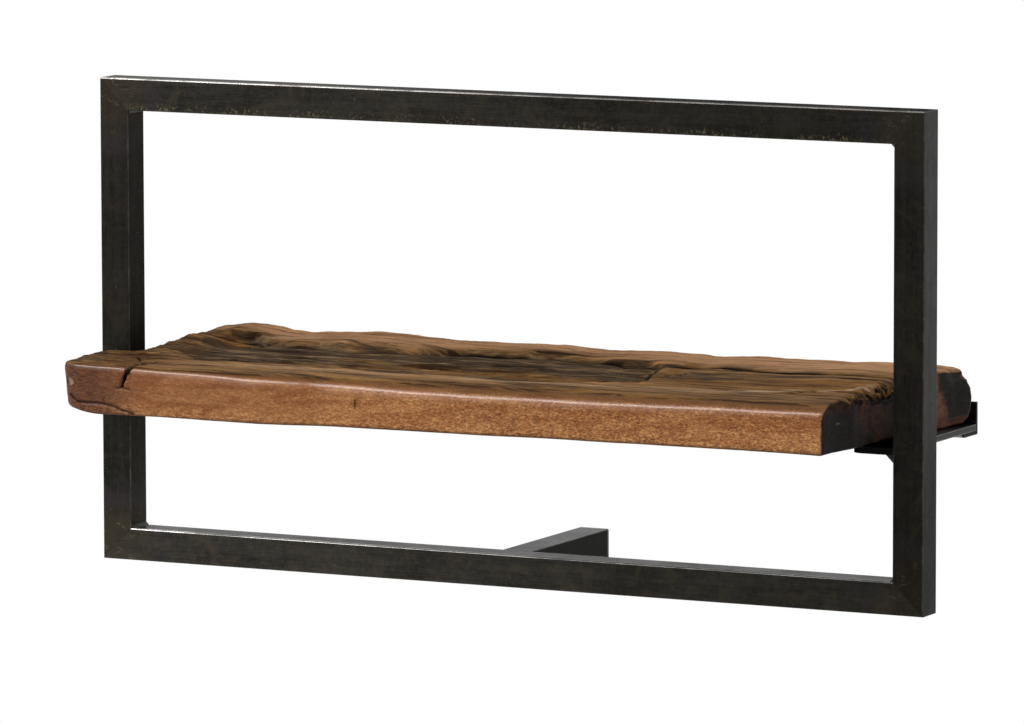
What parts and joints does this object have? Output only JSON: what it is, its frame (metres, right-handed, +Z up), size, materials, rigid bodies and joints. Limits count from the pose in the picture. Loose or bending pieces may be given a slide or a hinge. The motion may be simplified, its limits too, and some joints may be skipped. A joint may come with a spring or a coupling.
{
  "type": "wall shelf",
  "caption": "Wall shelf with a thick reclaimed wood board carried inside a welded rectangular frame of square steel tube, fixed by two wall angles and held off by a spacer.",
  "frame": {"origin": "midway between the centres of the two wall screw holes, on the wall's surface", "axes": "+X along the wall to the right as seen from the room, +Y into the wall, +Z up"},
  "size_m": [0.7, 0.244, 0.378],
  "materials": {
    "frame_steel": "raw mill steel, blackened and waxed, worn bright along its edges",
    "bar_steel": "raw mill steel, waxed",
    "weld_metal": "ground weld metal with heat tint",
    "cap_plastic": "black moulded",
    "board_wood": "reclaimed hardwood, planed and oiled in front, weathered on top",
    "screw_steel": "zinc plated"
  },
  "bodies": {
    "root": {"bottom_rail": "frame_steel", "top_rail": "frame_steel", "left_upright": "frame_steel", "right_upright": "frame_steel", "weld_bottom_left": "weld_metal", "weld_bottom_right": "weld_metal", "weld_top_left": "weld_metal", "weld_top_right": "weld_metal", "left_support_bar": "bar_steel", "right_support_bar": "bar_steel", "left_bar_weld": "weld_metal", "right_bar_weld": "weld_metal", "left_wall_angle": "bar_steel", "right_wall_angle": "bar_steel", "left_angle_weld": "weld_metal", "right_angle_weld": "weld_metal", "spacer_tube": "frame_steel", "spacer_welds": "weld_metal", "spacer_cap": "cap_plastic", "shelf_board": "board_wood", "board_screws": "screw_steel"}
  },
  "joints": []
}
